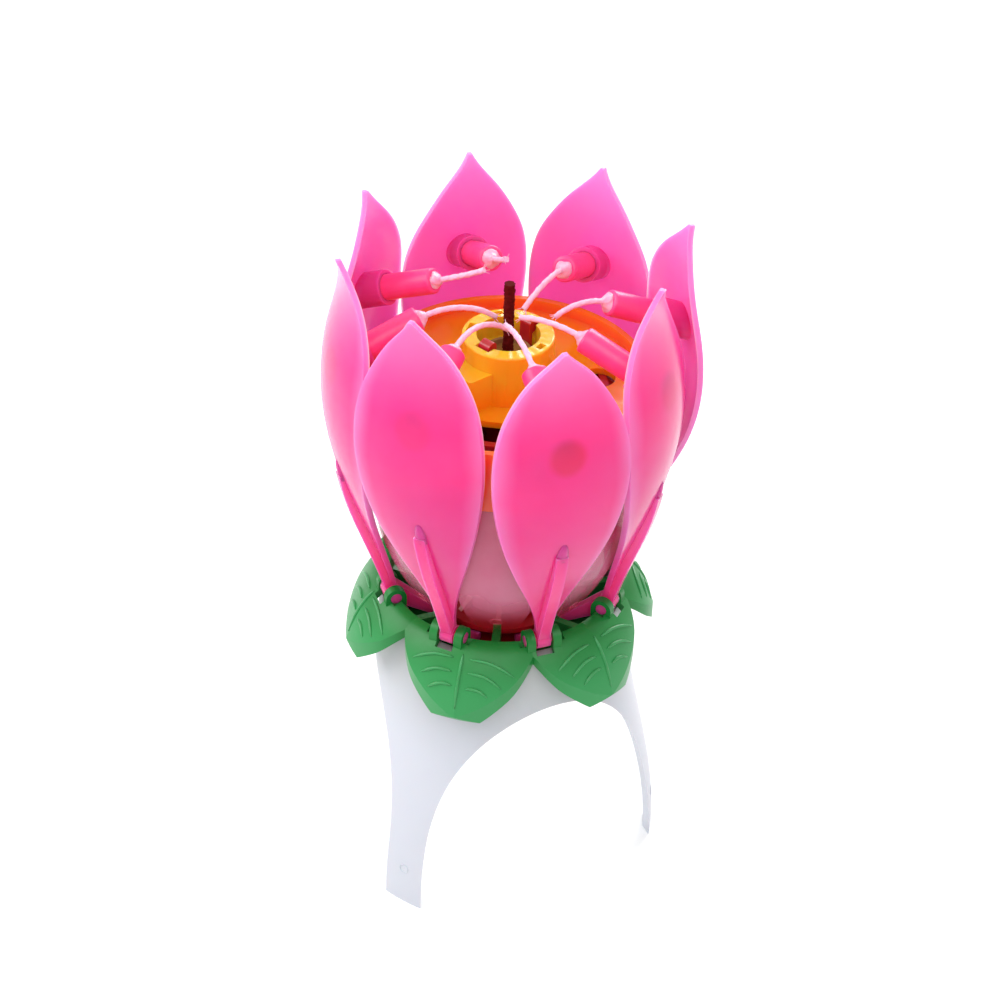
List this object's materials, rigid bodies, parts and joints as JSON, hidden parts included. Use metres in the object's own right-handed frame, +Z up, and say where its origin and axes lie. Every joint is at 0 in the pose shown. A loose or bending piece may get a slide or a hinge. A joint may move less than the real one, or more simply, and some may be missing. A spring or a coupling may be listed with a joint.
{
  "type": "musical birthday candle",
  "caption": "Lotus-flower birthday candle: petals that fall open round a deck, a leaf collar and a turning music works on a three-legged stand.",
  "frame": {"origin": "centre of the plane that the three feet stand on", "axes": "+Z up along the spindle; +Y towards one of the three legs"},
  "size_m": [0.0636, 0.0661, 0.1281],
  "materials": {
    "white_plastic": "smooth moulded, soft gloss",
    "green_plastic": "moulded with raised leaf veins, soft gloss",
    "pink_plastic": "thin translucent moulding, soft gloss",
    "clear_plastic": "clear moulding, slightly hazy",
    "yellow_plastic": "opaque moulding, soft gloss",
    "red_plastic": "moulded, soft gloss",
    "pink_wax": "coloured wax",
    "white_wick": "waxed cotton, braided",
    "dark_fuse": "dry coated paper",
    "brown_paper": "wound paper tube",
    "pale_powder": "pressed powder",
    "bright_steel": "bright drawn",
    "spring_steel": "bright wire",
    "cell_steel": "plated, bright",
    "spring_bronze": "rolled strip",
    "sounder_brass": "rolled disc",
    "white_acetal": "moulded, matt",
    "board_laminate": "pressed paper laminate",
    "black_resin": "cast resin"
  },
  "bodies": {
    "stand": {"stand": "white_plastic", "spindle": "bright_steel", "thrust_washer": "white_acetal", "sun_gear": "white_acetal", "retaining_clip": "bright_steel"},
    "flower_head": {"leaf_collar": "green_plastic", "bearing_base": "red_plastic", "base_screws": "bright_steel", "cup": "clear_plastic", "core_housing": "red_plastic", "deck": "yellow_plastic", "fountain_holder": "red_plastic", "fountain_tube": "brown_paper", "fountain_charge": "pale_powder", "fuse": "dark_fuse", "motor": "bright_steel", "idler_pin": "bright_steel", "circuit_board": "board_laminate", "chip_cover": "black_resin", "sounder": "sounder_brass", "button_cells": "cell_steel", "cell_contacts": "spring_bronze", "switch_blades": "spring_bronze", "opening_spring": "spring_steel"},
    "plunger": {"plunger": "red_plastic"},
    "reduction_gear": {"reduction_gear": "white_acetal"},
    "motor_pinion": {"motor_pinion": "white_acetal"},
    "petal_1": {"petal_1": "pink_plastic", "candle_1": "pink_wax", "wick_1": "white_wick"},
    "petal_2": {"petal_2": "pink_plastic", "candle_2": "pink_wax", "wick_2": "white_wick"},
    "petal_3": {"petal_3": "pink_plastic", "candle_3": "pink_wax", "wick_3": "white_wick"},
    "petal_4": {"petal_4": "pink_plastic", "candle_4": "pink_wax", "wick_4": "white_wick"},
    "petal_5": {"petal_5": "pink_plastic", "candle_5": "pink_wax", "wick_5": "white_wick"},
    "petal_6": {"petal_6": "pink_plastic", "candle_6": "pink_wax", "wick_6": "white_wick"},
    "petal_7": {"petal_7": "pink_plastic", "candle_7": "pink_wax", "wick_7": "white_wick"},
    "petal_8": {"petal_8": "pink_plastic", "candle_8": "pink_wax", "wick_8": "white_wick"}
  },
  "joints": [
    {"name": "flower_spin", "type": "hinge", "parent": "stand", "child": "flower_head", "pos_m": [0, 0, 0.0603], "axis": [0, 0, 1], "continuous": true},
    {"name": "petal_1_open", "type": "hinge", "parent": "flower_head", "child": "petal_1", "pos_m": [0.02069, -0.00217, 0.0603], "axis": [0.1045, 0.9945, 0], "range_deg": [0, 76]},
    {"name": "petal_2_open", "type": "hinge", "parent": "flower_head", "child": "petal_2", "pos_m": [0.01616, 0.01309, 0.0603], "axis": [-0.6293, 0.7771, 0], "range_deg": [0, 76]},
    {"name": "petal_3_open", "type": "hinge", "parent": "flower_head", "child": "petal_3", "pos_m": [0.00217, 0.02069, 0.0603], "axis": [-0.9945, 0.1045, 0], "range_deg": [0, 76]},
    {"name": "petal_4_open", "type": "hinge", "parent": "flower_head", "child": "petal_4", "pos_m": [-0.01309, 0.01616, 0.0603], "axis": [-0.7771, -0.6293, 0], "range_deg": [0, 76]},
    {"name": "petal_5_open", "type": "hinge", "parent": "flower_head", "child": "petal_5", "pos_m": [-0.02069, 0.00217, 0.0603], "axis": [-0.1045, -0.9945, 0], "range_deg": [0, 76]},
    {"name": "petal_6_open", "type": "hinge", "parent": "flower_head", "child": "petal_6", "pos_m": [-0.01616, -0.01309, 0.0603], "axis": [0.6293, -0.7771, 0], "range_deg": [0, 76]},
    {"name": "petal_7_open", "type": "hinge", "parent": "flower_head", "child": "petal_7", "pos_m": [-0.00217, -0.02069, 0.0603], "axis": [0.9945, -0.1045, 0], "range_deg": [0, 76]},
    {"name": "petal_8_open", "type": "hinge", "parent": "flower_head", "child": "petal_8", "pos_m": [0.01309, -0.01616, 0.0603], "axis": [0.7771, 0.6293, 0], "range_deg": [0, 76]},
    {"name": "plunger_rise", "type": "slide", "parent": "flower_head", "child": "plunger", "axis": [0, 0, 1], "range_m": [0, 0.01477], "deforming": ["opening_spring"]},
    {"name": "idler_turn", "type": "hinge", "parent": "flower_head", "child": "reduction_gear", "pos_m": [-0.00148, 0.00837, 0.082], "axis": [0, 0, 1], "continuous": true},
    {"name": "pinion_turn", "type": "hinge", "parent": "flower_head", "child": "motor_pinion", "pos_m": [-0.00894, 0.0055, 0.085], "axis": [0, 0, 1], "continuous": true}
  ],
  "couplings": [
    {"joint": "petal_2_open", "follows": "petal_1_open", "ratio": 1},
    {"joint": "petal_3_open", "follows": "petal_1_open", "ratio": 1},
    {"joint": "petal_4_open", "follows": "petal_1_open", "ratio": 1},
    {"joint": "petal_5_open", "follows": "petal_1_open", "ratio": 1},
    {"joint": "petal_6_open", "follows": "petal_1_open", "ratio": 1},
    {"joint": "petal_7_open", "follows": "petal_1_open", "ratio": 1},
    {"joint": "petal_8_open", "follows": "petal_1_open", "ratio": 1},
    {"joint": "plunger_rise", "follows": "petal_1_open", "m_per_rad": 0.011138},
    {"joint": "idler_turn", "follows": "flower_spin", "ratio": 2.4},
    {"joint": "pinion_turn", "follows": "flower_spin", "ratio": -7.2}
  ]
}
